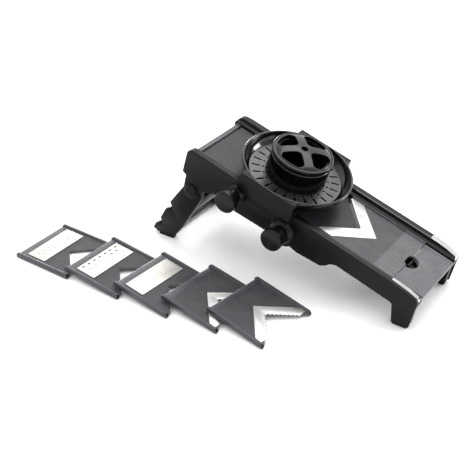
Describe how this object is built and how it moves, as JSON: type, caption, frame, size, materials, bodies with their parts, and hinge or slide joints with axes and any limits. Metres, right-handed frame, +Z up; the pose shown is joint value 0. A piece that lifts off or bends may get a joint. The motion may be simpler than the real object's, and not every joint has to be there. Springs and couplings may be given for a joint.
{
  "type": "mandoline slicer",
  "caption": "Black V-blade mandoline slicer on a folding rear leg, with a sliding round food holder, two side knobs and loose interchangeable blade inserts laid beside it.",
  "frame": {"origin": "middle of the footprint of the whole set, on the table", "axes": "+X along the slicer towards its low end, +Y away from the knob side, +Z up"},
  "size_m": [0.5716, 0.3218, 0.1892],
  "materials": {
    "abs_black": "fine satin moulded",
    "abs_ribbed": "finely ribbed moulded",
    "abs_gloss": "polished moulded",
    "abs_grey": "satin moulded",
    "stainless": "fine brushed",
    "rubber_pad": "matt"
  },
  "bodies": {
    "frame": {"side_rail_far": "abs_black", "side_rail_near": "abs_black", "upper_cross_member": "abs_black", "middle_cross_member": "abs_black", "lower_cross_member": "abs_black", "end_plate": "abs_ribbed", "front_pad_near": "rubber_pad", "front_pad_far": "rubber_pad", "leg_pin_far": "abs_gloss", "leg_pin_near": "abs_gloss", "ramp_hinge_rod": "stainless", "height_knob_flange": "abs_gloss", "lock_knob_flange": "abs_gloss"},
    "leg": {"leg_arm_far": "abs_black", "leg_arm_near": "abs_black", "leg_top_bar": "abs_grey", "leg_foot_bar": "abs_black", "leg_pad_near": "rubber_pad", "leg_pad_far": "rubber_pad"},
    "ramp": {"feed_ramp": "abs_ribbed", "ramp_lip": "abs_grey"},
    "height_dial": {"height_knob": "abs_black", "height_shaft": "abs_grey"},
    "ramp_lock": {"lock_knob": "abs_black", "lock_shaft": "abs_grey"},
    "blade_insert": {"landing_plate": "abs_ribbed", "v_blade": "stainless", "blade_rivet_near": "stainless", "blade_rivet_far": "stainless"},
    "latch": {"insert_latch": "abs_black"},
    "holder": {"holder_saddle": "abs_gloss", "holder_rim": "abs_grey", "slotted_ring": "abs_grey", "guide_tube": "abs_gloss"},
    "pusher": {"pusher_cap": "abs_gloss", "pusher_sleeve": "abs_black", "prong_plate": "abs_black"},
    "insert_coarse": {"insert_coarse_plate": "abs_ribbed", "insert_coarse_panel": "stainless"},
    "insert_medium": {"insert_medium_plate": "abs_ribbed", "insert_medium_panel": "stainless"},
    "insert_fine": {"insert_fine_plate": "abs_ribbed", "insert_fine_panel": "stainless"},
    "insert_plain": {"insert_plain_plate": "abs_ribbed", "insert_plain_blade": "stainless"},
    "insert_serrated": {"insert_serrated_plate": "abs_ribbed", "insert_serrated_blade": "stainless"}
  },
  "joints": [
    {"name": "leg_fold", "type": "hinge", "parent": "frame", "child": "leg", "pos_m": [-0.08732, 0.0799, 0.0994], "axis": [0, -1, 0], "range_deg": [0, 100]},
    {"name": "ramp_tilt", "type": "hinge", "parent": "frame", "child": "ramp", "pos_m": [-0.08354, 0.0799, 0.15315], "axis": [0, 1, 0], "range_deg": [0, 1.6]},
    {"name": "height_knob_turn", "type": "hinge", "parent": "frame", "child": "height_dial", "pos_m": [0.0706, 0.0099, 0.08615], "axis": [0, 1, 0], "range_deg": [0, 150]},
    {"name": "lock_knob_turn", "type": "hinge", "parent": "frame", "child": "ramp_lock", "pos_m": [-0.00651, 0.0099, 0.12123], "axis": [0, 1, 0], "range_deg": [0, 90]},
    {"name": "blade_insert_lift", "type": "slide", "parent": "frame", "child": "blade_insert", "axis": [0.2924, 0, 0.9563], "range_m": [0, 0.04]},
    {"name": "latch_slide", "type": "slide", "parent": "frame", "child": "latch", "axis": [0.9563, 0, -0.2924], "range_m": [0, 0.004], "stiffness_N_per_m": 200},
    {"name": "holder_slide", "type": "slide", "parent": "frame", "child": "holder", "axis": [-0.9563, 0, 0.2924], "range_m": [-0.118, 0.05]},
    {"name": "pusher_slide", "type": "slide", "parent": "holder", "child": "pusher", "axis": [0.2924, 0, 0.9563], "range_m": [0, 0.045]},
    {"name": "insert_coarse_slide", "type": "slide", "parent": "frame", "child": "insert_coarse", "axis": [-0.0262, -0.9997, 0], "range_m": [0, 0.05]},
    {"name": "insert_medium_slide", "type": "slide", "parent": "frame", "child": "insert_medium", "axis": [-0.0523, -0.9986, 0], "range_m": [0, 0.05]},
    {"name": "insert_fine_slide", "type": "slide", "parent": "frame", "child": "insert_fine", "axis": [-0.0872, -0.9962, 0], "range_m": [0, 0.05]},
    {"name": "insert_plain_slide", "type": "slide", "parent": "frame", "child": "insert_plain", "axis": [-0.0871, -0.996, 0.0175], "range_m": [0, 0.05]},
    {"name": "insert_serrated_slide", "type": "slide", "parent": "frame", "child": "insert_serrated", "axis": [-0.0262, -0.9995, 0.0175], "range_m": [0, 0.05]}
  ],
  "couplings": [
    {"joint": "ramp_tilt", "follows": "height_knob_turn", "ratio": 0.0106}
  ]
}
